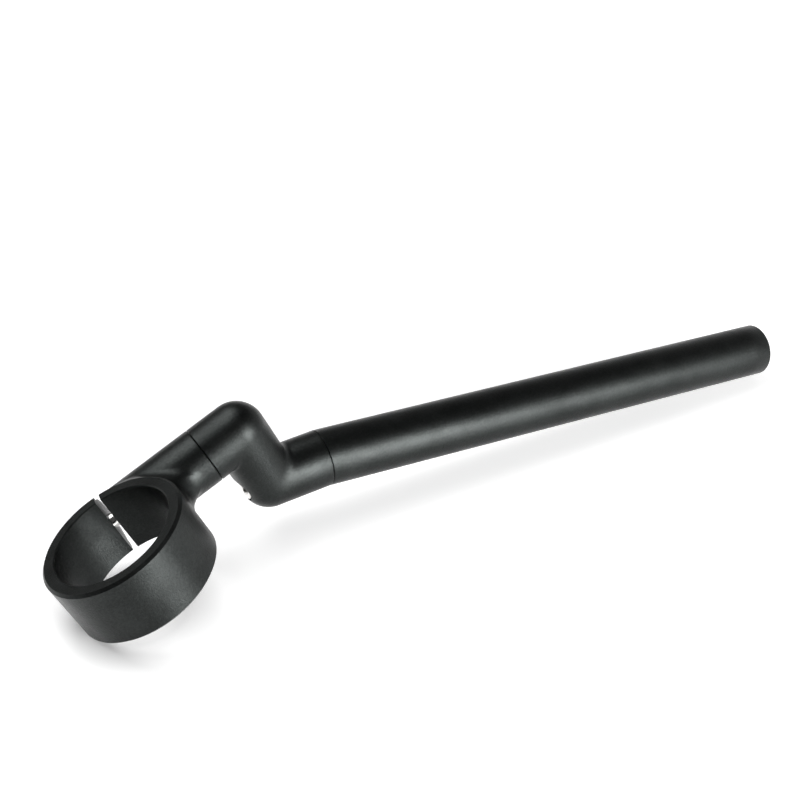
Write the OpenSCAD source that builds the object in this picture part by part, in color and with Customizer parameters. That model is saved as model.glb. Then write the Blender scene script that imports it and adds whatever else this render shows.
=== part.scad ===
// Clip-on handlebar: a split clamp for a motorcycle's fork tube, with an arm, a twice-bent link and a bar.
// The origin is the middle of the clamp's bore. +Z runs up the fork tube, +X along the arm, +Y towards it.

/* [Fork clamp] */
// Bore of the clamp, which is the fork tube's diameter
fork_d = 45; // [41:0.5:54]
// Thickness of the ring's wall
ring_wall = 5; // [4.5:0.5:8]
// Height of the ring along the fork tube
ring_h = 25.4; // [24.4:0.2:36]
// Width of the slit that lets the ring close
slit_w = 2.1; // [1:0.1:3]
// Direction of the slit from the bore's middle, turned from +Y towards the arm
slit_turn = 6.5; // [3:0.5:12]
// Chamfer on the ring's outer edges
ring_chamfer = 1; // [0.5:0.1:1.5]
// Chamfer at both mouths of the bore
bore_chamfer = 0.4; // [0.2:0.1:1]

/* [Arm] */
// Diameter of the arm, the link and the bar
tube_d = 22.2; // [21:0.1:24]
// Where the arm ends and the link begins, from the bore's middle
arm_reach = 42.5; // [36:0.5:70]
// Where the arm's straight outside starts to curl round into the bolt's nose
nose_start = 9.6; // [8:0.2:12]
// Radius of that curl, seen along the bore
nose_r = 36; // [34:0.5:37]
// Radius of the hollow between the arm and the ring
root_r = 8; // [5:0.5:12]

/* [Pinch bolt] */
// Thread of the bolt that closes the slit
pinch_d = 6; // [5:1:6]
// Metal between the bore and the bolt
pinch_land = 1.5; // [1.2:0.1:2.5]
// Place of the face under the bolt's head, from the bore's middle
pinch_seat_x = -10; // [-11:0.5:-9]
// Length of the bolt under its head
pinch_len = 25; // [20:1:28]

/* [Link] */
// Distance from the arm's end to the middle of the first elbow
elbow_lead = 14.5; // [14:0.5:30]
// Distance between the middles of the two elbows
link_drop = 27; // [26:0.5:50]
// Angle between the bar's side of the link and the arm
stub_angle = 21; // [0:1:30]
// Distance from the middle of the second elbow to the bar's joint
stub_len = 22.5; // [20:0.5:40]
// Setting of the link about the arm, from straight down
link_turn = 6; // [-180:1:180]

/* [Link joint] */
// Diameter of the link's spigot in the arm
spigot_d = 14; // [12:0.5:15]
// Length of the spigot
spigot_len = 17; // [16:0.5:18]
// Diameter at the bottom of the spigot's groove
groove_d = 11; // [9:0.5:12]
// Thread of the set screws that hold the spigot
set_d = 5; // [4:1:5]

/* [Bar] */
// Length of the bar, from its joint to its open end
bar_len = 220; // [140:1:260]
// Wall of the bar's tube
bar_wall = 3.1; // [2.5:0.1:4]
// Kink between the bar and the link
bar_kink = 8; // [0:0.5:10]
// Setting of the bar about the link's stub
bar_turn = 3; // [-180:1:180]
// Thread of the bolt that holds the bar
bar_bolt_d = 6; // [5:1:6]
// Length of that bolt under its head
bar_bolt_len = 40; // [35:1:50]
// Length of the plug in the bar's inner end
plug_len = 24; // [20:1:40]
// Depth by which the plug's seat is bored out of the tube's wall
seat_step = 0.5; // [0.2:0.1:1]
// Diameter of the plug's pilot in the link
pilot_d = 14; // [12:0.5:15]
// Length of the plug's pilot in the link
pilot_len = 6; // [4:0.5:8]

/* [Hidden] */
$fn = 96;
// Radial clearance of a bolt in a plain hole
bolt_clear = 0.3;
// Radial clearance of a thread in its tapped hole, of a spigot in its bore and of a plug in its tube
close_clear = 0.05;
// Gap between the faces of a joint, and the edge break that shows it as a line
face_gap = 0.05;
edge_break = 0.3;
// Taper of the bar's inner end, past the slanted cut, where what slides on the bar stops clear of the link
relief = 0.1;
relief_past_cut = 0.6;
// How far the round forms are sunk into the ring, so that they meet it in a clean line
sink = 0.05;

// Socket head cap screws, for a thread d: the head's diameter, its hexagon, the chamfers and the hexagon's depth
function head_d(d) = d * 5 / 3;
function hex_af(d) = d * 5 / 6;
function screw_chamfer(d) = d / 12;
hex_depth_share = 0.5;
// Radial clearance of a head in its counterbore
head_clear = 0.5;

tube_r = tube_d / 2;
fork_r = fork_d / 2;
ring_r = fork_r + ring_wall;
arm_y = fork_r + ring_wall / 2;
pinch_y = fork_r + pinch_land + pinch_d / 2;
slit_x = pinch_y * tan(slit_turn);
nose_c = [nose_start, arm_y + tube_r - nose_r];
root_y = arm_y - tube_r - root_r;
root_c = [sqrt(pow(ring_r + root_r - sink, 2) - root_y * root_y), root_y];

socket_len = spigot_len + 0.5;
land_front = 2.4;
land_back = 4;
groove_len = spigot_len - land_front - land_back;
set_step = set_d + 0.4;
set_mid = land_front + groove_len / 2;
set_len = tube_r - 0.6 - groove_d / 2 - close_clear;

// The bar bolt's head is sunk nearly flush in the ball of the second elbow
bar_head_out = tube_r - 0.9;
bar_seat = -bar_head_out + bar_bolt_d;
tube_bore_r = tube_r - bar_wall;
seat_r = tube_bore_r + seat_step;
relief_end = tube_r * tan(bar_kink) + relief_past_cut;

// Puts its children on the arm's axis, from the arm's end, with +Z outwards and +X down
module on_arm() {
    translate([arm_reach, arm_y, 0]) rotate([0, 90, 0]) children();
}

// The same, turned with the link
module on_link() {
    on_arm() rotate([0, 0, link_turn]) children();
}

// Puts its children on the stub's axis, from the middle of the second elbow
module on_stub() {
    on_link() translate([link_drop, 0, elbow_lead]) rotate([0, stub_angle, 0]) children();
}

// The same from the bar's joint, turned with the bar
module on_bar() {
    on_stub() translate([0, 0, stub_len]) rotate([0, 0, bar_turn]) children();
}

// A round bar with an edge break at its far end
module rod(r, len) {
    rotate_extrude() polygon([[0, 0], [r, 0], [r, len - edge_break], [r - edge_break, len], [0, len]]);
}

// A socket head cap screw, head up, with the face under its head at z = 0
module cap_screw(d, len) {
    hr = head_d(d) / 2;
    c = screw_chamfer(d);
    difference() {
        rotate_extrude() polygon([
            [0, -len], [d / 2 - c, -len], [d / 2, -len + c], [d / 2, 0],
            [hr, 0], [hr, d - c], [hr - c, d], [0, d]
        ]);
        translate([0, 0, d * (1 - hex_depth_share)]) cylinder(d = hex_af(d) / cos(30), h = d, $fn = 6);
    }
}

// A solid bent bar of the arm's thickness, swept about the point c from angle a0 through span
module bent_arm(c, bend_r, a0, span) {
    translate([c.x, c.y, 0]) rotate([0, 0, a0])
        rotate_extrude(angle = span) translate([bend_r, 0]) circle(r = tube_r);
}

module ring_blank() {
    h = ring_h / 2;
    rotate_extrude() polygon([
        [fork_r - 1, -h], [ring_r - ring_chamfer, -h], [ring_r, -h + ring_chamfer],
        [ring_r, h - ring_chamfer], [ring_r - ring_chamfer, h], [fork_r - 1, h]
    ]);
}

module fork_bore() {
    h = ring_h / 2;
    c = bore_chamfer;
    rotate_extrude() polygon([
        [0, -h - 1], [fork_r + c + 1, -h - 1], [fork_r, -h + c], [fork_r, h - c], [fork_r + c + 1, h + 1], [0, h + 1]
    ]);
}

module clamp_body() color([0.13, 0.135, 0.14]) difference() {
    union() {
        ring_blank();
        translate([nose_start, arm_y, 0]) rotate([0, 90, 0]) rod(tube_r, arm_reach - nose_start);
        bent_arm(nose_c, nose_r - tube_r, 90, 70);
        bent_arm(root_c, root_r + tube_r, 90, 90 + atan2(root_c.y, root_c.x));
    }
    fork_bore();
    rotate([0, 0, -slit_turn]) translate([-slit_w / 2, fork_r / 2, -ring_h]) cube([slit_w, ring_r * 2, ring_h * 2]);
    // The pinch bolt's counterbore, plain hole and tapped hole
    translate([pinch_seat_x, pinch_y, 0]) rotate([0, -90, 0])
        cylinder(d = head_d(pinch_d) + 2 * head_clear, h = ring_r);
    translate([pinch_seat_x - 1, pinch_y, 0]) rotate([0, 90, 0])
        cylinder(r = pinch_d / 2 + bolt_clear, h = slit_x - pinch_seat_x + 1);
    translate([slit_x, pinch_y, 0]) rotate([0, 90, 0])
        cylinder(r = pinch_d / 2 + close_clear, h = pinch_seat_x + pinch_len + 1 - slit_x);
    // The socket for the link's spigot, and its two tapped holes from below
    on_arm() mirror([0, 0, 1]) {
        translate([0, 0, -1]) cylinder(r = spigot_d / 2 + close_clear, h = socket_len + 1);
        for (s = [-1, 1]) translate([0, 0, set_mid + s * set_step / 2]) rotate([0, 90, 0])
            cylinder(r = set_d / 2 + close_clear, h = tube_d);
    }
}

module pinch_bolt() color([0.8, 0.8, 0.8])
    translate([pinch_seat_x, pinch_y, 0]) rotate([0, -90, 0]) cap_screw(pinch_d, pinch_len);

module set_screw() {
    difference() {
        translate([0, 0, groove_d / 2 + close_clear]) cylinder(r = set_d / 2, h = set_len);
        translate([0, 0, tube_r - 3]) cylinder(d = set_d / 2 / cos(30), h = tube_r, $fn = 6);
    }
}

module set_screws() color([0.2, 0.2, 0.2]) on_arm() mirror([0, 0, 1])
    for (s = [-1, 1]) translate([0, 0, set_mid + s * set_step / 2]) rotate([0, 90, 0]) set_screw();

// The link's spigot, from the arm's end inwards, with a groove for the set screws
module spigot() {
    r = spigot_d / 2;
    g = groove_d / 2;
    mirror([0, 0, 1]) rotate_extrude() polygon([
        [0, -1], [r, -1], [r, land_front], [g, land_front], [g, land_front + groove_len],
        [r, land_front + groove_len], [r, spigot_len - 0.5], [r - 0.5, spigot_len], [0, spigot_len]
    ]);
}

module offset_link() color([0.13, 0.135, 0.14]) difference() {
    union() {
        on_link() {
            spigot();
            // First leg, its outer end towards the arm
            translate([0, 0, elbow_lead]) mirror([0, 0, 1]) rod(tube_r, elbow_lead - face_gap);
            translate([0, 0, elbow_lead]) sphere(r = tube_r);
            translate([0, 0, elbow_lead]) rotate([0, 90, 0]) cylinder(r = tube_r, h = link_drop);
            translate([link_drop, 0, elbow_lead]) sphere(r = tube_r);
        }
        on_stub() rod(tube_r, stub_len);
    }
    on_stub() {
        translate([0, 0, bar_seat]) mirror([0, 0, 1]) cylinder(d = head_d(bar_bolt_d) + 2 * head_clear, h = tube_r);
        translate([0, 0, bar_seat - 1]) cylinder(r = bar_bolt_d / 2 + bolt_clear, h = stub_len + tube_r);
        translate([0, 0, stub_len - pilot_len - 0.5]) cylinder(r = pilot_d / 2 + close_clear, h = pilot_len + 1);
    }
}

module bar_bolt() color([0.8, 0.8, 0.8])
    on_stub() translate([0, 0, bar_seat]) mirror([0, 0, 1]) cap_screw(bar_bolt_d, bar_bolt_len);

// What lies past the joint's flat face, on the bar's side
module past_joint() {
    translate([-bar_len, -bar_len, face_gap]) cube([2 * bar_len, 2 * bar_len, bar_len * 2]);
}

module bar_plug() color([0.6, 0.6, 0.62]) on_bar() difference() {
    union() {
        intersection() {
            rotate([0, bar_kink, 0]) translate([0, 0, -tube_r]) cylinder(r = seat_r - close_clear, h = plug_len + tube_r);
            past_joint();
        }
        translate([0, 0, -pilot_len]) cylinder(d = pilot_d, h = pilot_len + 2);
    }
    translate([0, 0, -pilot_len - 1]) cylinder(r = bar_bolt_d / 2 + close_clear, h = pilot_len + plug_len * 2);
}

// The bar as turned, before its inner end is cut at the kink's angle
module bar_blank() {
    r = tube_r;
    rotate_extrude() polygon([
        [0, -r], [r - relief, -r], [r - relief, -relief_end], [r, relief_end],
        [r, bar_len - edge_break], [r - edge_break, bar_len], [0, bar_len]
    ]);
}

module handlebar_tube() color([0.13, 0.135, 0.14]) on_bar() difference() {
    intersection() {
        rotate([0, bar_kink, 0]) bar_blank();
        past_joint();
    }
    rotate([0, bar_kink, 0]) {
        translate([0, 0, -tube_d]) cylinder(r = tube_bore_r, h = bar_len + 2 * tube_d);
        translate([0, 0, -tube_d]) cylinder(r = seat_r, h = plug_len + tube_d + face_gap);
    }
}

clamp_body();
pinch_bolt();
set_screws();
offset_link();
bar_bolt();
bar_plug();
handlebar_tube();
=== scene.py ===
"""Looks of a clip-on handlebar: blasted black aluminium, bright screws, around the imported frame."""
import math

import bpy
import numpy as np
from mathutils import Matrix, Vector


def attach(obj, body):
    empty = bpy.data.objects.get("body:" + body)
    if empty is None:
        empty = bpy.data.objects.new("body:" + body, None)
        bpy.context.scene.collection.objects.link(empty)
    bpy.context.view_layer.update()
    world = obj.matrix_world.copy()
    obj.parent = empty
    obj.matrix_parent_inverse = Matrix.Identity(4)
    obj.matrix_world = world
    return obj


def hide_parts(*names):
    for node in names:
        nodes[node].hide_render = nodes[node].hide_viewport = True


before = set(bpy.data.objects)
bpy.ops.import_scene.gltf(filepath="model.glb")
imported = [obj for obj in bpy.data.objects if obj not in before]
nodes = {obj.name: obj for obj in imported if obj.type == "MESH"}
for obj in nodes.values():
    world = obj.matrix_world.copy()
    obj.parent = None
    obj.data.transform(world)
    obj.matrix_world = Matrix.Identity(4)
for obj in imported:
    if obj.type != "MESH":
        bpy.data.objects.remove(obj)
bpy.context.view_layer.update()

MM = 0.001

# Camera, at the photograph's angle
CAMERA_AT_MM = (23.6, -433.24, 280.6)
CAMERA_TURN_DEG = (51.864, 25.433, -29.954)
CAMERA_LENS_MM = 65.73
CAMERA_SENSOR_MM = 36.0
CAMERA_CLIP_M = (0.01, 20.0)

# Upward direction of the plane that the object lies on in the photograph
FLOOR_UP = Vector((0.437, -0.125, 0.891)).normalized()

# Sizes of the object in mm, as in the part's source
FORK_R = 45.0 / 2
RING_WALL = 5.0
RING_R = FORK_R + RING_WALL
RING_HALF = 25.4 / 2
RING_CHAMFER = 1.0
BORE_CHAMFER = 0.4
SLIT_W = 2.1
SLIT_TURN = math.radians(6.5)
TUBE_R = 22.2 / 2
ARM_Y = FORK_R + RING_WALL / 2
ARM_REACH = 42.5
NOSE_START = 9.6
NOSE_R = 36.0
EDGE_BREAK = 0.3
FACE_GAP = 0.05
CLOSE_CLEAR = 0.05
BOLT_CLEAR = 0.3
HEAD_CLEAR = 0.5

# Pinch bolt, and the counterbore that the heads of both cap screws have
HEAD_R_SHARE = 5 / 6
PINCH_D = 6.0
PINCH_LEN = 25.0
PINCH_LAND = 1.5
PINCH_Y = FORK_R + PINCH_LAND + PINCH_D / 2
PINCH_SEAT_X = -10.0
COUNTERBORE_R = PINCH_D * HEAD_R_SHARE + HEAD_CLEAR

# Spigot of the link, its groove and socket, and the set screws
SPIGOT_R = 14.0 / 2
SPIGOT_LEN = 17.0
SPIGOT_CHAMFER = 0.5
SOCKET_LEN = SPIGOT_LEN + 0.5
GROOVE_R = 11.0 / 2
GROOVE_FROM = 2.4
GROOVE_TO = SPIGOT_LEN - 4.0
SET_D = 5.0
SET_STEP = SET_D + 0.4
SET_MID = (GROOVE_FROM + GROOVE_TO) / 2
SET_X = (ARM_REACH - SET_MID + SET_STEP / 2, ARM_REACH - SET_MID - SET_STEP / 2)

# Link
ELBOW_LEAD = 14.5
LINK_DROP = 27.0
STUB_LEN = 22.5
LINK_TURN = math.radians(6.0)
STUB_ANGLE = math.radians(21.0)

# Bar, its bolt and the seat of its plug
BAR_BOLT_D = 6.0
BAR_BOLT_LEN = 40.0
BAR_HEAD_OUT = TUBE_R - 0.9
BAR_SEAT = BAR_BOLT_D - BAR_HEAD_OUT
PILOT_R = 14.0 / 2 + CLOSE_CLEAR
PILOT_DEPTH = 6.0 + 0.5
BAR_LEN = 220.0
BAR_TURN = math.radians(3.0)
BAR_KINK = math.radians(8.0)
TUBE_BORE_R = TUBE_R - 3.1
PLUG_SEAT_R = TUBE_BORE_R + 0.5
PLUG_SEAT_TO = 24.0 + FACE_GAP
TAPER = 0.05
TAPER_END = TUBE_R * math.tan(BAR_KINK) + 0.6

# Hollow where the arm leaves the ring: wide at the arm's inner side, small at its top, with the power
# by which it shrinks upwards. It grows from nothing between two places along the arm.
ROOT_HOLLOW_INNER = 13.0
ROOT_HOLLOW_OUTER = 3.5
ROOT_HOLLOW_FROM_X = 2.0
ROOT_HOLLOW_TO_X = 18.0
ROOT_HOLLOW_FADE = 4

# Hollows at the inner sides of the link's elbows
ELBOW_1_HOLLOW = 0.8
ELBOW_2_HOLLOW = 2.0

# How far the legs run past where they are cut, and how far cuts and joined forms overlap
LEG_1_BACK = 40.0
LEG_3_ON = 60.0
OVERLAP = 1.0

# Where the bent arm ends behind the nose, its distance is replaced by one that is never zero there
NO_ARM_X = -15.0
NO_ARM_LEAST = 10.0

# Contouring of the forged pieces: grid in mm, kept off the flat faces, and the solver's settings
GRID_STEP = 0.5
GRID_STEP_FINE = 0.2
CLAMP_GRID = ((-28.03, 43.4), (-28.07, 37.3), (-13.11, 13.2))
CLAMP_FINE_Z = ((-12.9, -11.5), (11.5, 12.9))
LINK_GRID = ((24.53, 90.0), (13.07, 41.2), (-48.53, 12.0))
LINK_FINE_X = ((42.0, 43.2),)
GRADIENT_STEP = 1e-3
HALVINGS = 16
FLAT_SHARE = 0.08
SETTLE_ROUNDS = 2
TINY = 1e-12
LEAST_SLOPE = 1e-9
SHARP_ANGLE = math.radians(28)

# The four cells around a grid edge along each axis, in turning order
CELLS = (((0, 0, 0), (0, 0, -1), (0, -1, -1), (0, -1, 0)),
         ((0, 0, 0), (-1, 0, 0), (-1, 0, -1), (0, 0, -1)),
         ((0, 0, 0), (0, -1, 0), (-1, -1, 0), (-1, 0, 0)))

# Cap screws: shares of the thread's diameter, then lengths in mm
HEX_SHARE = 5 / 6
SOCKET_TIP_SHARE = 0.4
SOCKET_FLOOR_SHARE = 0.5
THREAD_CHAMFER_SHARE = 1 / 12
SOCKET_BEVEL = (0.45, 0.05)
MOUTH_WIDER = 0.15
MOUTH_EDGE = 0.1
# Points of the head's rounded rim and of its lower edge, inwards from the side and in height
RIM_ROUND = ((0.75, 0.0), (0.4, 0.12), (0.15, 0.4))
FOOT_ROUND = ((0.15, 0.35), (0.3, 0.0))
KNURL_TOP = 0.6
KNURL_FOOT = 0.5
KNURL_DEPTH = 0.14
KNURL_TEETH = 48
NECK = 0.2

# Set screws, in mm: how deep they and their sockets lie below the arm's outside, and their edges. The
# socket's mouth is a share of the radius.
SET_SUNK = 0.6
SET_SOCKET = 3.0
SET_TIP = 0.3
SET_BEVEL = 0.25
SET_MOUTH_SHARE = 0.66
SET_EDGE = 0.3
SET_POINT = 0.4

# Edges of the bar, as shares of the edge break
RIM_BULGE = 0.3
JOINT_BREAK = 0.6

TURNED_SIDES = 192
SET_SIDES = 96
TAPER_RINGS = 24

# Colours, and gloss from its smoothest to its roughest
BLACK_DEEP = (0.0225, 0.0243, 0.0238, 1)
BLACK_PALE = (0.036, 0.039, 0.038, 1)
BLACK_EDGE_TINT = (0.95, 0.95, 0.95, 1)
BLACK_GLOSS = (0.33, 0.43)
BRIGHT_STEEL = (0.74, 0.73, 0.71, 1)
BRIGHT_GLOSS = (0.16, 0.3)
DARK_STEEL = (0.03, 0.03, 0.03, 1)
DARK_GLOSS = (0.3, 0.45)
BARE_ALUMINIUM = (0.6, 0.6, 0.61, 1)
BARE_GLOSS = (0.25, 0.4)
WHITE = (1, 1, 1, 1)
FLOOR_COLOUR = (0.85, 0.85, 0.85, 1)

# Noise patterns: scale per metre, detail, roughness
CLOUD = (60.0, 3.0, 0.5)
GRIT = (1100.0, 3.0, 0.7)
HANDLING = (140.0, 4.0, 0.65)
BLASTING = (1500.0, 3.0, 0.7)
STEEL_MARKS = (400.0, 3.0, 0.5)
ALUMINIUM_MARKS = (300.0, 3.0, 0.5)
NOISE_SPAN = (0.3, 0.7)
TONE_SPAN = (0.75, 1.25)
BLAST_STRENGTH = 0.7
BLAST_DEPTH_M = 0.00012

# Floor, in metres: its half width and its middle. In two rings, around that middle and below the bore,
# its own white grows with the distance: from and to, then the strengths there.
# Below the bore the ring is a painted shadow: the floor's own white is dimmed there, under the ring's bore.
FLOOR_HALF = 2.0
FLOOR_MIDDLE = (0.08, 0.02, -0.03)
FLOOR_ROUGHNESS = 0.3
FLOOR_IOR = 1.8
SHADOW_RING = (0.16, 0.5, 0.52, 0.9)
BORE_PAINTED_SHADOW = (0.018, 0.033, 0.1, 1.0)

# Soft boxes: azimuth from the camera's side towards its right and elevation in degrees, then distance,
# width and height in metres, then brightness
KEY_LIGHT = (48, 13, 1.2, 0.7, 0.54, 17.0)
BACK_LEFT_LIGHT = (-115, 60, 1.4, 1.3, 0.9, 4.2)

# Room: pale below the first height of a ray's direction, dark above the second, and both strengths
ROOM = (0.02, 0.3, 0.75, 0.07)


def directions():
    """Directions of the link's first and second leg, of its stub and of the bar."""
    along = np.array([1.0, 0.0, 0.0])
    down = np.array([0.0, math.sin(LINK_TURN), -math.cos(LINK_TURN)])
    across = np.array([0.0, math.cos(LINK_TURN), math.sin(LINK_TURN)])
    stub = math.cos(STUB_ANGLE) * along + math.sin(STUB_ANGLE) * down
    low = math.cos(STUB_ANGLE) * down - math.sin(STUB_ANGLE) * along
    tilt = math.cos(BAR_TURN) * low + math.sin(BAR_TURN) * across
    bar = math.cos(BAR_KINK) * stub + math.sin(BAR_KINK) * tilt
    return along, down, stub, bar


ALONG, DOWN, STUB, BAR = directions()
ELBOW_1 = np.array([ARM_REACH + ELBOW_LEAD, ARM_Y, 0.0])
ELBOW_2 = ELBOW_1 + LINK_DROP * DOWN
BAR_JOINT = ELBOW_2 + STUB_LEN * STUB


def add_camera():
    data = bpy.data.cameras.new("camera")
    data.sensor_fit = "HORIZONTAL"
    data.sensor_width = CAMERA_SENSOR_MM
    data.lens = CAMERA_LENS_MM
    data.clip_start, data.clip_end = CAMERA_CLIP_M
    camera = bpy.data.objects.new("camera", data)
    bpy.context.scene.collection.objects.link(camera)
    camera.location = [c * MM for c in CAMERA_AT_MM]
    camera.rotation_euler = [math.radians(a) for a in CAMERA_TURN_DEG]
    bpy.context.scene.camera = camera


# Solids as signed distances, negative inside
def both(*parts):
    return np.maximum.reduce(np.broadcast_arrays(*parts))


def less(body, *parts):
    for part in parts:
        body = np.maximum(body, -part)
    return body


def joined(a, b, radius):
    """Union of two solids with a hollow of that radius where they meet."""
    u, w = np.maximum(radius - a, 0), np.maximum(radius - b, 0)
    return np.maximum(radius, np.minimum(a, b)) - np.sqrt(u * u + w * w)


def bevelled(a, b, size):
    """Intersection of two solids with a flat edge break of that size."""
    return both(a, b, (a + b + size) / math.sqrt(2))


def capsule(p, start, end):
    way = end - start
    reach = way.dot(way)
    t = sum((p[i] - start[i]) * way[i] for i in range(3)) / reach
    t = np.clip(t, 0, 1)
    return np.sqrt(sum((p[i] - start[i] - t * way[i]) ** 2 for i in range(3))) - TUBE_R


def height(p, at, way):
    return sum((p[i] - at[i]) * way[i] for i in range(3))


def from_axis(p, at, way):
    h = height(p, at, way)
    return np.sqrt(np.maximum(sum((p[i] - at[i] - h * way[i]) ** 2 for i in range(3)), TINY))


def bent_arm(x, y, z):
    """The round arm, which curls into the bolt's nose before NOSE_START."""
    straight = np.hypot(y - ARM_Y, z) - TUBE_R
    u, v = x - NOSE_START, y - (ARM_Y + TUBE_R - NOSE_R)
    curl = np.hypot(np.hypot(u, v) - (NOSE_R - TUBE_R), z) - TUBE_R
    arm = np.where((u < 0) & (v > 0), curl, straight)
    arm = np.where((u < 0) & (v <= 0), np.hypot(x - NO_ARM_X, y) + NO_ARM_LEAST, arm)
    return bevelled(arm, x - ARM_REACH, EDGE_BREAK)


def root_hollow(x, y, z):
    """Radius of the hollow between the ring and the arm."""
    inner = np.clip((ARM_Y - y) / TUBE_R, 0, 1) * np.clip(1 - (z / TUBE_R) ** ROOT_HOLLOW_FADE, 0, 1)
    radius = ROOT_HOLLOW_OUTER + (ROOT_HOLLOW_INNER - ROOT_HOLLOW_OUTER) * inner
    return radius * np.clip((x - ROOT_HOLLOW_FROM_X) / (ROOT_HOLLOW_TO_X - ROOT_HOLLOW_FROM_X), 0, 1)


def clamp_form(x, y, z):
    r = np.hypot(x, y)
    flat = np.abs(z) - RING_HALF
    ring = bevelled(r - RING_R, flat, RING_CHAMFER)
    body = both(joined(ring, bent_arm(x, y, z), root_hollow(x, y, z)), flat)
    bore = FORK_R - r
    body = both(body, bore, (bore + flat + BORE_CHAMFER) / math.sqrt(2))
    across = x * math.cos(SLIT_TURN) - y * math.sin(SLIT_TURN)
    outwards = x * math.sin(SLIT_TURN) + y * math.cos(SLIT_TURN)
    slit = both(np.abs(across) - SLIT_W / 2, FORK_R / 2 - outwards)
    from_bolt = np.hypot(y - PINCH_Y, z)
    head_room = both(from_bolt - COUNTERBORE_R, x - PINCH_SEAT_X, -y)
    plain = both(from_bolt - PINCH_D / 2 - BOLT_CLEAR, x, PINCH_SEAT_X - OVERLAP - x)
    tapped = both(from_bolt - PINCH_D / 2 - CLOSE_CLEAR, x - PINCH_SEAT_X - PINCH_LEN - OVERLAP, -x)
    socket = both(np.hypot(y - ARM_Y, z) - SPIGOT_R - CLOSE_CLEAR, ARM_REACH - SOCKET_LEN - x)
    body = less(body, slit, head_room, plain, tapped, socket)
    for at in SET_X:
        body = less(body, both(np.hypot(x - at, y - ARM_Y) - SET_D / 2 - CLOSE_CLEAR, z))
    return body


def spigot_form(x, y, z):
    depth = ARM_REACH - x
    from_x = np.hypot(y - ARM_Y, z)
    spigot = both(bevelled(from_x - SPIGOT_R, depth - SPIGOT_LEN, SPIGOT_CHAMFER), -depth - OVERLAP)
    return less(spigot, both(GROOVE_R - from_x, GROOVE_FROM - depth, depth - GROOVE_TO))


def inner_side(p, elbow, way):
    """0 up to the elbow's middle and 1 at its skin, on the side that faces way."""
    return np.clip(height(p, elbow, way / np.linalg.norm(way)) / TUBE_R, 0, 1)


def link_form(x, y, z):
    p = (x, y, z)
    leg_1 = capsule(p, ELBOW_1 - LEG_1_BACK * ALONG, ELBOW_1)
    leg_1 = bevelled(leg_1, ARM_REACH + FACE_GAP - x, EDGE_BREAK)
    leg_2 = capsule(p, ELBOW_1, ELBOW_2)
    leg_3 = capsule(p, ELBOW_2, ELBOW_2 + LEG_3_ON * STUB)
    leg_3 = bevelled(leg_3, height(p, BAR_JOINT, STUB), EDGE_BREAK)
    body = joined(leg_1, leg_2, ELBOW_1_HOLLOW * inner_side(p, ELBOW_1, DOWN - ALONG))
    body = joined(body, leg_3, ELBOW_2_HOLLOW * inner_side(p, ELBOW_2, STUB - DOWN))
    body = np.minimum(body, spigot_form(x, y, z))
    h = height(p, ELBOW_2, STUB)
    off = from_axis(p, ELBOW_2, STUB)
    head_room = both(off - COUNTERBORE_R, h - BAR_SEAT)
    plain = off - BAR_BOLT_D / 2 - BOLT_CLEAR
    pilot = both(off - PILOT_R, STUB_LEN - PILOT_DEPTH - h)
    return less(body, head_room, plain, pilot)


# Surfaces of those solids, by dual contouring, which keeps edges sharp
def gradient(form, p):
    slope = np.empty_like(p)
    for axis in range(3):
        move = np.zeros(3)
        move[axis] = GRADIENT_STEP
        slope[:, axis] = form(*(p + move).T) - form(*(p - move).T)
    return slope / (2 * GRADIENT_STEP)


def crossings_along(form, axes, inside, a):
    """Grid edges along axis a that cross the surface: whether their start is inside, the crossing, the
    surface's slope there and the four cells around the edge."""
    shape = inside.shape
    n = shape[a] - 1
    at = np.argwhere(np.take(inside, range(n), a) != np.take(inside, range(1, n + 1), a))
    keep = np.ones(len(at), bool)
    for b in range(3):
        if b != a:
            keep &= (at[:, b] > 0) & (at[:, b] < shape[b] - 1)
    at = at[keep]
    start = np.stack([axes[b][at[:, b]] for b in range(3)], 1)
    end = start.copy()
    end[:, a] = axes[a][at[:, a] + 1]
    start_in = inside[tuple(at.T)]
    lo, hi = np.zeros(len(at)), np.ones(len(at))
    for _ in range(HALVINGS):
        mid = (lo + hi) / 2
        same = (form(*(start + (end - start) * mid[:, None]).T) < 0) == start_in
        lo, hi = np.where(same, mid, lo), np.where(same, hi, mid)
    q = start + (end - start) * ((lo + hi) / 2)[:, None]
    slope = gradient(form, q)
    slope /= np.linalg.norm(slope, axis=1)[:, None]
    cells = at[:, None, :] + np.array(CELLS[a])[None]
    cells = np.ravel_multi_index(cells.reshape(-1, 3).T, shape).reshape(-1, 4)
    return start_in, q, slope, cells


def cell_points(q, slope, who, count):
    """The point of each cell that lies nearest to the planes of its crossings; who is each one's cell."""
    def total(weight):
        return np.bincount(who, weight, count)

    crossings = total(np.ones(len(who)))
    middle = np.stack([total(q[:, a]) / crossings for a in range(3)], 1)
    off = np.einsum("ij,ij->i", slope, q - middle[who])
    right = np.stack([total(slope[:, a] * off) for a in range(3)], 1)
    matrix = np.empty((count, 3, 3))
    for a in range(3):
        for b in range(a, 3):
            matrix[:, a, b] = matrix[:, b, a] = total(slope[:, a] * slope[:, b])
    size, way = np.linalg.eigh(matrix)
    inverse = np.where(size > FLAT_SHARE * size[:, 2:], 1 / np.maximum(size, TINY), 0)
    return middle + np.einsum("nij,nj,nkj,nk->ni", way, inverse, way, right)


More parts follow.
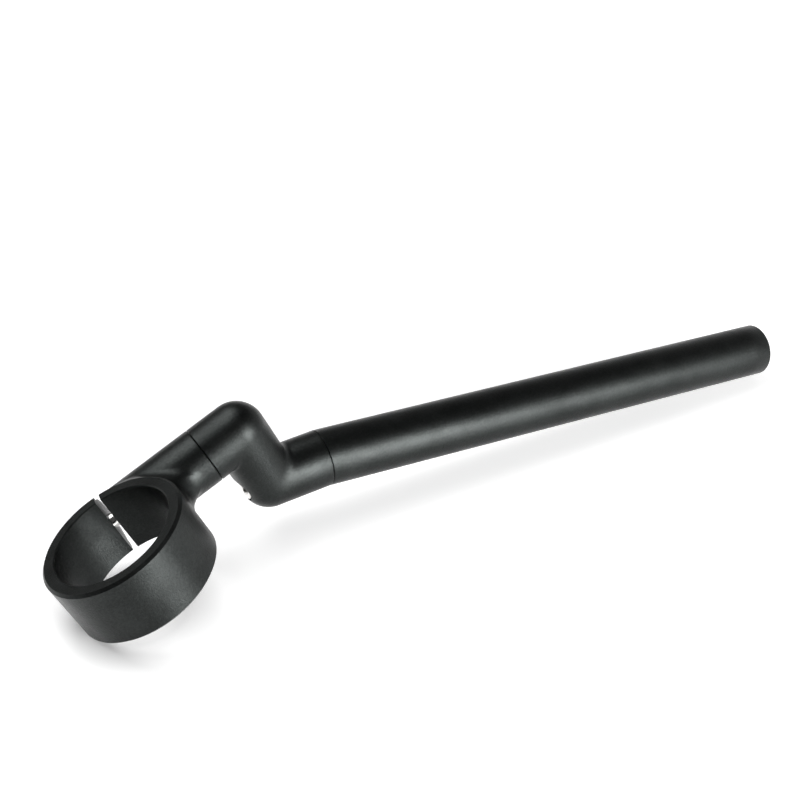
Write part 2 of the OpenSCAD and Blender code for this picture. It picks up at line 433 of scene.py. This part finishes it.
def skin(form, axes):
    """Points and quads of the surface where form is zero."""
    inside = form(axes[0][:, None, None], axes[1][None, :, None], axes[2][None, None, :]) < 0
    crossings = [crossings_along(form, axes, inside, a) for a in range(3)]
    start_in, q, slope, cells = (np.concatenate([c[i] for c in crossings]) for i in range(4))
    cell, back = np.unique(cells.ravel(), return_inverse=True)
    back = back.reshape(cells.shape)
    p = cell_points(np.repeat(q, 4, 0), np.repeat(slope, 4, 0), back.ravel(), len(cell))
    place = np.unravel_index(cell, inside.shape)
    low = np.stack([axes[a][place[a]] for a in range(3)], 1)
    high = np.stack([axes[a][place[a] + 1] for a in range(3)], 1)
    p = np.clip(p, low, high)
    for _ in range(SETTLE_ROUNDS):
        slope = gradient(form, p)
        share = form(*p.T) / np.maximum((slope * slope).sum(1), LEAST_SLOPE)
        p = p - slope * share[:, None]
    return p, np.where(start_in[:, None], back[:, ::-1], back)


def grid_axis(span, fine=()):
    """Grid values over the span, with a finer step inside each span of fine."""
    low, high = span
    values = [low]
    while values[-1] < high:
        is_fine = any(start <= values[-1] < end for start, end in fine)
        values.append(values[-1] + (GRID_STEP_FINE if is_fine else GRID_STEP))
    return np.array(values)


def piece_from(name, points, faces, material, body, slot, *replaced):
    """A Blender object of points in mm, riding on a body in place of CAD nodes."""
    mesh = bpy.data.meshes.new(name)
    corners = [tuple(c * MM for c in p) for p in points]
    mesh.from_pydata(corners, [], [tuple(int(i) for i in f) for f in faces])
    mesh.validate()
    mesh.shade_smooth()
    mesh.set_sharp_from_angle(angle=SHARP_ANGLE)
    mesh.materials.append(material)
    piece = bpy.data.objects.new(name, mesh)
    bpy.context.scene.collection.objects.link(piece)
    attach(piece, body)
    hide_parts(*replaced)
    return piece


# Materials
def new_material(name):
    material = bpy.data.materials.new(name)
    material.use_nodes = True
    tree = material.node_tree
    return material, tree, tree.nodes["Principled BSDF"]


def coordinates(tree):
    return tree.nodes.new("ShaderNodeTexCoord").outputs["Object"]


def noise(tree, where, pattern):
    node = tree.nodes.new("ShaderNodeTexNoise")
    for socket, number in zip(("Scale", "Detail", "Roughness"), pattern):
        node.inputs[socket].default_value = number
    tree.links.new(where, node.inputs["Vector"])
    return node.outputs["Fac"]


def spread(tree, value, low, high, out_low, out_high):
    node = tree.nodes.new("ShaderNodeMapRange")
    numbers = (low, high, out_low, out_high)
    for socket, number in zip(("From Min", "From Max", "To Min", "To Max"), numbers):
        node.inputs[socket].default_value = number
    tree.links.new(value, node.inputs["Value"])
    return node.outputs["Result"]


def reckoned(tree, operation, first, second):
    """Result of a Math node on two sockets."""
    node = tree.nodes.new("ShaderNodeMath")
    node.operation = operation
    tree.links.new(first, node.inputs[0])
    tree.links.new(second, node.inputs[1])
    return node.outputs[0]


def anodised():
    """Black anodised aluminium, bead blasted: near black, fine grained, dull at its edges."""
    material, tree, shader = new_material("black_anodised")
    where = coordinates(tree)
    shader.inputs["Metallic"].default_value = 1.0
    shader.inputs["Specular Tint"].default_value = BLACK_EDGE_TINT
    # Dye that took a little unevenly
    tone = tree.nodes.new("ShaderNodeMix")
    tone.data_type = "RGBA"
    tone.inputs["A"].default_value = BLACK_DEEP
    tone.inputs["B"].default_value = BLACK_PALE
    uneven = reckoned(tree, "ADD", noise(tree, where, CLOUD), noise(tree, where, GRIT))
    tree.links.new(spread(tree, uneven, *TONE_SPAN, 0.0, 1.0), tone.inputs["Factor"])
    tree.links.new(tone.outputs["Result"], shader.inputs["Base Color"])
    # Satin with faint handling marks
    gloss = spread(tree, noise(tree, where, HANDLING), *NOISE_SPAN, *BLACK_GLOSS)
    tree.links.new(gloss, shader.inputs["Roughness"])
    # Pits left by the blasting
    bump = tree.nodes.new("ShaderNodeBump")
    bump.inputs["Strength"].default_value = BLAST_STRENGTH
    bump.inputs["Distance"].default_value = BLAST_DEPTH_M
    tree.links.new(noise(tree, where, BLASTING), bump.inputs["Height"])
    tree.links.new(bump.outputs["Normal"], shader.inputs["Normal"])
    return material


def plain_metal(name, colour, marks, gloss):
    """A metal of one colour whose gloss varies from place to place."""
    material, tree, shader = new_material(name)
    shader.inputs["Base Color"].default_value = colour
    shader.inputs["Metallic"].default_value = 1.0
    uneven = spread(tree, noise(tree, coordinates(tree), marks), *NOISE_SPAN, *gloss)
    tree.links.new(uneven, shader.inputs["Roughness"])
    return material


def dress_nodes():
    """Materials on the frame's own nodes; the bar's plug is the one that no piece replaces."""
    own = {"pinch_bolt": bright, "bar_bolt": bright, "bar_plug": bare, "set_screws": dark}
    for name, obj in nodes.items():
        obj.data.materials.clear()
        obj.data.materials.append(own.get(name, black))


# Forged pieces
def add_clamp():
    x, y, z = CLAMP_GRID
    points, quads = skin(clamp_form, (grid_axis(x), grid_axis(y), grid_axis(z, CLAMP_FINE_Z)))
    piece_from("clamp_forging", points, quads, black, "clamp", "black_anodised", "clamp_body")


def add_link():
    x, y, z = LINK_GRID
    points, quads = skin(link_form, (grid_axis(x, LINK_FINE_X), grid_axis(y), grid_axis(z)))
    piece_from("link_forging", points, quads, black, "link", "black_anodised", "offset_link")


# Turned pieces
def frame_along(at, way):
    """Matrix from a piece's own axes, +Z along way, to the object's, in mm."""
    turn = Vector(way).normalized().to_track_quat("Z", "Y").to_matrix().to_4x4()
    return Matrix.Translation(Vector(at)) @ turn


def lathe(rings, count, place):
    """Points and faces of a closed form turned about +Z. Each ring is (radius, height), and either may be a
    function of the angle. A ring of radius 0 is a single point. Open ends are joined to each other."""
    angles = [2 * math.pi * i / count for i in range(count)]
    points, starts = [], []
    for radius, up in rings:
        starts.append((len(points), radius == 0))
        for a in angles[:1] if radius == 0 else angles:
            r = radius(a) if callable(radius) else radius
            h = up(a) if callable(up) else up
            points.append(place @ Vector((r * math.cos(a), r * math.sin(a), h)))
    faces = []
    pairs = list(zip(starts, starts[1:]))
    if not (starts[0][1] or starts[-1][1]):
        pairs.append((starts[-1], starts[0]))
    for (s, s_point), (t, t_point) in pairs:
        for i in range(count):
            j = (i + 1) % count
            if s_point:
                faces.append((s, t + i, t + j))
            elif t_point:
                faces.append((s + j, s + i, t))
            else:
                faces.append((s + i, t + i, t + j, s + j))
    return points, faces


def hexagon(across):
    """Radius of a hexagon by angle, from its size across flats."""
    sector = math.pi / 3

    def radius(a):
        return across / 2 / math.cos((a % sector) - sector / 2)

    return radius


def knurl(radius):
    """Radius of a knurled side by angle."""
    def shape(a):
        return radius - KNURL_DEPTH * (0.5 - 0.5 * math.cos(a * KNURL_TEETH))

    return shape


def cap_screw(d, length, place):
    """A socket head cap screw: the face under the head at 0, the head above it."""
    head, across, chamfer = d * HEAD_R_SHARE, d * HEX_SHARE, d * THREAD_CHAMFER_SHARE
    hole, knurled = hexagon(across), knurl(head)
    mouth = across / 2 / math.cos(math.pi / 6) + MOUTH_WIDER
    rings = [(0, d * SOCKET_TIP_SHARE), (hole, d * SOCKET_FLOOR_SHARE), (hole, d - SOCKET_BEVEL[0]),
             (mouth, d - SOCKET_BEVEL[1]), (mouth + MOUTH_EDGE, d)]
    rings += [(head - inwards, d - drop) for inwards, drop in RIM_ROUND]
    rings += [(knurled, d - KNURL_TOP), (knurled, KNURL_FOOT)]
    rings += [(head - inwards, up) for inwards, up in FOOT_ROUND]
    rings += [(d / 2 + NECK, 0.0), (d / 2, -NECK), (d / 2, -length + chamfer), (d / 2 - chamfer, -length),
              (0, -length)]
    return lathe(rings, TURNED_SIDES, place)


def add_cap_screws():
    screw = cap_screw(PINCH_D, PINCH_LEN, frame_along((PINCH_SEAT_X, PINCH_Y, 0), (-1, 0, 0)))
    piece_from("pinch_screw", *screw, bright, "clamp", "bright_steel", "pinch_bolt")
    screw = cap_screw(BAR_BOLT_D, BAR_BOLT_LEN, frame_along(ELBOW_2 + BAR_SEAT * STUB, -STUB))
    piece_from("bar_screw", *screw, bright, "link", "bright_steel", "bar_bolt")


def add_set_screws():
    hole = hexagon(SET_D / 2)
    r, top, deep = SET_D / 2, TUBE_R - SET_SUNK, TUBE_R - SET_SOCKET
    bottom = GROOVE_R + CLOSE_CLEAR
    rings = [(0, deep - SET_TIP), (hole, deep), (hole, top - SET_BEVEL), (r * SET_MOUTH_SHARE, top),
             (r - SET_EDGE, top), (r, top - SET_EDGE), (r, bottom + SET_EDGE), (r - SET_POINT, bottom),
             (0, bottom)]
    points, faces = [], []
    for x in SET_X:
        more, sides = lathe(rings, SET_SIDES, frame_along((x, ARM_Y, 0), (0, 0, -1)))
        faces += [tuple(i + len(points) for i in f) for f in sides]
        points += more
    piece_from("grub_screws", points, faces, dark, "clamp", "black_steel", "set_screws")


def add_bar():
    place = frame_along(BAR_JOINT, BAR)
    slope = place.to_3x3().transposed() @ Vector(STUB)

    def cut(radius, gap=0.0):
        """Height at which that radius meets the joint's plane, by angle."""
        def up(a):
            slant = radius * (math.cos(a) * slope.x + math.sin(a) * slope.y)
            return (FACE_GAP + gap - slant) / slope.z

        return up

    tapered, outer = TUBE_R - TAPER, BAR_LEN - EDGE_BREAK
    bulge, joint_break = EDGE_BREAK * RIM_BULGE, EDGE_BREAK * JOINT_BREAK
    rings = [(PLUG_SEAT_R, cut(PLUG_SEAT_R)), (PLUG_SEAT_R, PLUG_SEAT_TO), (TUBE_BORE_R, PLUG_SEAT_TO),
             (TUBE_BORE_R, outer), (TUBE_BORE_R + EDGE_BREAK, BAR_LEN), (TUBE_R - EDGE_BREAK, BAR_LEN),
             (TUBE_R - bulge, BAR_LEN - bulge), (TUBE_R, outer)]
    rings += [(TUBE_R, outer + (TAPER_END - outer) * i / TAPER_RINGS) for i in range(1, TAPER_RINGS + 1)]
    rings += [(tapered, cut(tapered, joint_break)), (tapered - joint_break, cut(tapered - joint_break))]
    points, faces = lathe(rings, TURNED_SIDES, place)
    piece_from("bar_tube", points, faces, black, "bar", "black_anodised", "handlebar_tube")


# Floor, lights and background
def floor_axes():
    """The floor's middle under the object, and its axes: towards the camera, and to the camera's right."""
    corners = []
    for obj in nodes.values():
        corners += [v.co for v in obj.data.vertices]
    low = min(c.dot(FLOOR_UP) for c in corners)
    middle = Vector(FLOOR_MIDDLE)
    middle += FLOOR_UP * (low - middle.dot(FLOOR_UP))
    to_camera = Vector(CAMERA_AT_MM) * MM - middle
    front = (to_camera - FLOOR_UP * to_camera.dot(FLOOR_UP)).normalized()
    return middle, front, FLOOR_UP.cross(front)


def white_where_seen(tree):
    """1 for rays from the camera, mirrors and glass, and 0 for what lights the object."""
    path = tree.nodes.new("ShaderNodeLightPath")
    seen = path.outputs["Is Camera Ray"]
    for name in ("Is Glossy Ray", "Is Transmission Ray"):
        seen = reckoned(tree, "MAXIMUM", seen, path.outputs[name])
    return seen


def times_ring(tree, glow, where, centre, ring):
    """The glow times a strength that grows with the distance from centre, as ring says."""
    away = tree.nodes.new("ShaderNodeVectorMath")
    away.operation = "DISTANCE"
    away.inputs[1].default_value = centre
    tree.links.new(where, away.inputs[0])
    return reckoned(tree, "MULTIPLY", glow, spread(tree, away.outputs["Value"], *ring))


def white_floor():
    material, tree, shader = new_material("white_floor")
    shader.inputs["Base Color"].default_value = FLOOR_COLOUR
    shader.inputs["Roughness"].default_value = FLOOR_ROUGHNESS
    shader.inputs["IOR"].default_value = FLOOR_IOR
    shader.inputs["Emission Color"].default_value = WHITE
    # White by its own colour, less so around the object, where its shadow shows, and dimmed under its bore
    # into a painted shadow
    where = coordinates(tree)
    painted_shadow_middle = FLOOR_UP * floor_middle.dot(FLOOR_UP)
    glow = times_ring(tree, white_where_seen(tree), where, floor_middle, SHADOW_RING)
    # Painted shadow: the floor's own white is dimmed on the floor below the ring's bore
    glow = times_ring(tree, glow, where, painted_shadow_middle, BORE_PAINTED_SHADOW)
    tree.links.new(glow, shader.inputs["Emission Strength"])
    # Clear from below, so that it hides nothing there
    mix = tree.nodes.new("ShaderNodeMixShader")
    clear = tree.nodes.new("ShaderNodeBsdfTransparent")
    below = tree.nodes.new("ShaderNodeNewGeometry").outputs["Backfacing"]
    tree.links.new(below, mix.inputs["Fac"])
    tree.links.new(shader.outputs["BSDF"], mix.inputs[1])
    tree.links.new(clear.outputs["BSDF"], mix.inputs[2])
    tree.links.new(mix.outputs["Shader"], tree.nodes["Material Output"].inputs["Surface"])
    return material


def add_floor():
    mesh = bpy.data.meshes.new("floor")
    corners = [floor_middle + front * a * FLOOR_HALF + right * b * FLOOR_HALF
               for a, b in ((-1, -1), (1, -1), (1, 1), (-1, 1))]
    mesh.from_pydata(corners, [], [(0, 1, 2, 3)])
    floor = bpy.data.objects.new("floor", mesh)
    bpy.context.scene.collection.objects.link(floor)
    floor.data.materials.append(white_floor())


def way_to(azimuth, elevation):
    a, e = math.radians(azimuth), math.radians(elevation)
    return (front * math.cos(a) + right * math.sin(a)) * math.cos(e) + FLOOR_UP * math.sin(e)


def add_light(name, azimuth, elevation, distance, width, tall, brightness):
    """A soft box that faces the object and looks that bright whatever its size."""
    data = bpy.data.lights.new(name, "AREA")
    data.shape = "RECTANGLE"
    data.size = width
    data.size_y = tall
    data.energy = brightness * math.pi * width * tall
    light = bpy.data.objects.new(name, data)
    bpy.context.scene.collection.objects.link(light)
    way = way_to(azimuth, elevation)
    sideways = FLOOR_UP.cross(way).normalized()
    turn = Matrix((sideways, way.cross(sideways), way)).transposed().to_4x4()
    light.matrix_world = Matrix.Translation(floor_middle + way * distance) @ turn


def add_world():
    """A pale room up to a little above eye level, and dark above."""
    world = bpy.data.worlds.new("world")
    bpy.context.scene.world = world
    world.use_nodes = True
    tree = world.node_tree
    split = tree.nodes.new("ShaderNodeSeparateXYZ")
    tree.links.new(tree.nodes.new("ShaderNodeTexCoord").outputs["Generated"], split.inputs[0])
    background = tree.nodes["Background"]
    tree.links.new(spread(tree, split.outputs["Z"], *ROOM), background.inputs["Strength"])
    background.inputs["Color"].default_value = WHITE


add_camera()
black = anodised()
bright = plain_metal("bright_steel", BRIGHT_STEEL, STEEL_MARKS, BRIGHT_GLOSS)
dark = plain_metal("black_steel", DARK_STEEL, STEEL_MARKS, DARK_GLOSS)
bare = plain_metal("plain_aluminium", BARE_ALUMINIUM, ALUMINIUM_MARKS, BARE_GLOSS)
dress_nodes()
add_clamp()
add_link()
add_cap_screws()
add_set_screws()
add_bar()
floor_middle, front, right = floor_axes()
add_floor()
add_light("key", *KEY_LIGHT)
add_light("back_left", *BACK_LEFT_LIGHT)
add_world()

bpy.context.scene.view_settings.view_transform = "Standard"
